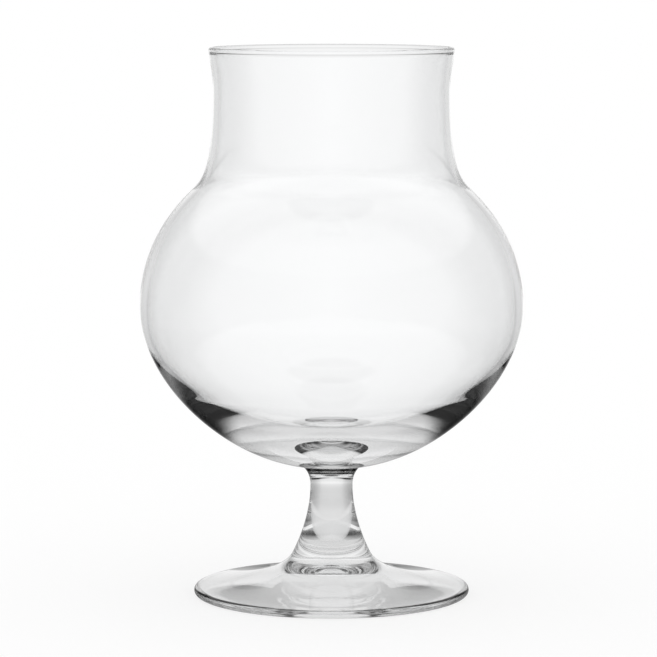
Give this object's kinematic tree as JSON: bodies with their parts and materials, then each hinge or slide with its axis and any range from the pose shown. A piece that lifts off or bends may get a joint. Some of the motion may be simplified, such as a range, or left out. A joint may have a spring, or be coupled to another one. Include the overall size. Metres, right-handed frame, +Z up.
{
  "type": "stemmed beer glass",
  "caption": "Stemmed beer glass with a round bulb bowl, a short wide neck, a solid waisted stem and a round foot.",
  "frame": {"origin": "centre of the foot, on the surface the glass stands on", "axes": "+Z up along the glass's axis of revolution, from the foot to the rim"},
  "size_m": [0.1086, 0.1086, 0.1555],
  "materials": {
    "clear_glass": "clear, fire-polished"
  },
  "bodies": {
    "root": {"bowl": "clear_glass", "stem": "clear_glass", "foot": "clear_glass"}
  },
  "joints": []
}
